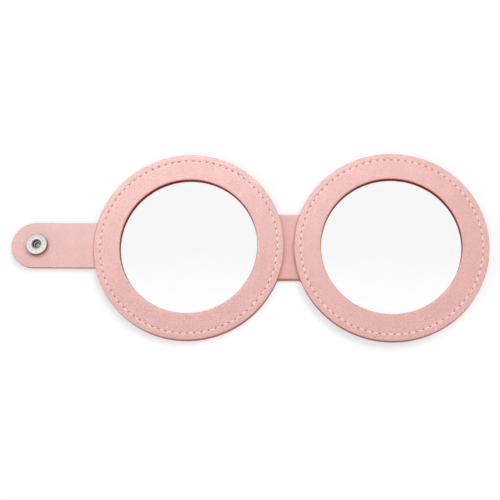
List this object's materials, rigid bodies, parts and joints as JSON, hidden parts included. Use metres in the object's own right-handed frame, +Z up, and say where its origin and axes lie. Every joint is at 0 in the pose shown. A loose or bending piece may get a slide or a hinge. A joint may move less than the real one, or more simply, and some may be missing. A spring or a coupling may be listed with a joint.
{
  "type": "folding compact mirror",
  "caption": "Folding compact mirror: two round stitched leather halves with inset mirrors, joined by a leather bridge that folds, and a strap that wraps round and closes with a spring snap.",
  "frame": {"origin": "middle of the left half's flat back face, which lies on the table", "axes": "+X from the left half to the right half, +Y to the far side in the picture, +Z up through the mirrors"},
  "size_m": [0.1872, 0.075, 0.0069],
  "materials": {
    "front_leather": "fine pebble grain, satin",
    "outer_leather": "fine pebble grain, satin",
    "lining_leather": "smooth, satin",
    "board": "dyed edge",
    "mirror_glass": "clear glass silvered on its back",
    "foam_tape": "matt foam",
    "thread": "twisted sewing thread",
    "nickel": "nickel plated",
    "spring_steel": "drawn wire"
  },
  "bodies": {
    "left_half": {"left_front_ring": "front_leather", "left_spacer_board": "board", "left_mirror_glass": "mirror_glass", "left_mirror_tape": "foam_tape", "left_back_panel": "outer_leather", "left_seam_thread": "thread", "left_lining_tab": "lining_leather", "strap_root_outer": "outer_leather", "strap_root_lining": "lining_leather"},
    "bridge_spine": {"bridge_skin": "outer_leather", "bridge_lining": "lining_leather"},
    "right_half": {"right_front_ring": "front_leather", "right_spacer_board": "board", "right_mirror_glass": "mirror_glass", "right_mirror_tape": "foam_tape", "right_back_panel": "outer_leather", "right_seam_thread": "thread", "right_lining_tab": "lining_leather", "snap_stud": "nickel", "snap_stud_post": "nickel"},
    "strap_riser": {"strap_riser_outer": "outer_leather", "strap_riser_lining": "lining_leather"},
    "strap_flap": {"strap_flap_outer": "outer_leather", "strap_flap_lining": "lining_leather", "snap_cap": "nickel", "snap_socket": "nickel", "snap_spring": "spring_steel"}
  },
  "joints": [
    {"name": "left_fold", "type": "hinge", "parent": "left_half", "child": "bridge_spine", "pos_m": [0.0376, 0, 0.0021], "axis": [0, -1, 0], "range_deg": [0, 90]},
    {"name": "right_fold", "type": "hinge", "parent": "bridge_spine", "child": "right_half", "pos_m": [0.0415, 0, 0.0021], "axis": [0, -1, 0], "range_deg": [0, 87.78]},
    {"name": "strap_root_fold", "type": "hinge", "parent": "left_half", "child": "strap_riser", "pos_m": [-0.0378, 0, 0.0027], "axis": [0, 1, 0], "range_deg": [0, 90]},
    {"name": "strap_turn_fold", "type": "hinge", "parent": "strap_riser", "child": "strap_flap", "pos_m": [-0.04655, 0, 0.0027], "axis": [0, 1, 0], "range_deg": [0, 90]}
  ],
  "couplings": [
    {"joint": "right_fold", "follows": "left_fold", "ratio": 0.97536},
    {"joint": "strap_turn_fold", "follows": "strap_root_fold", "ratio": 1}
  ]
}
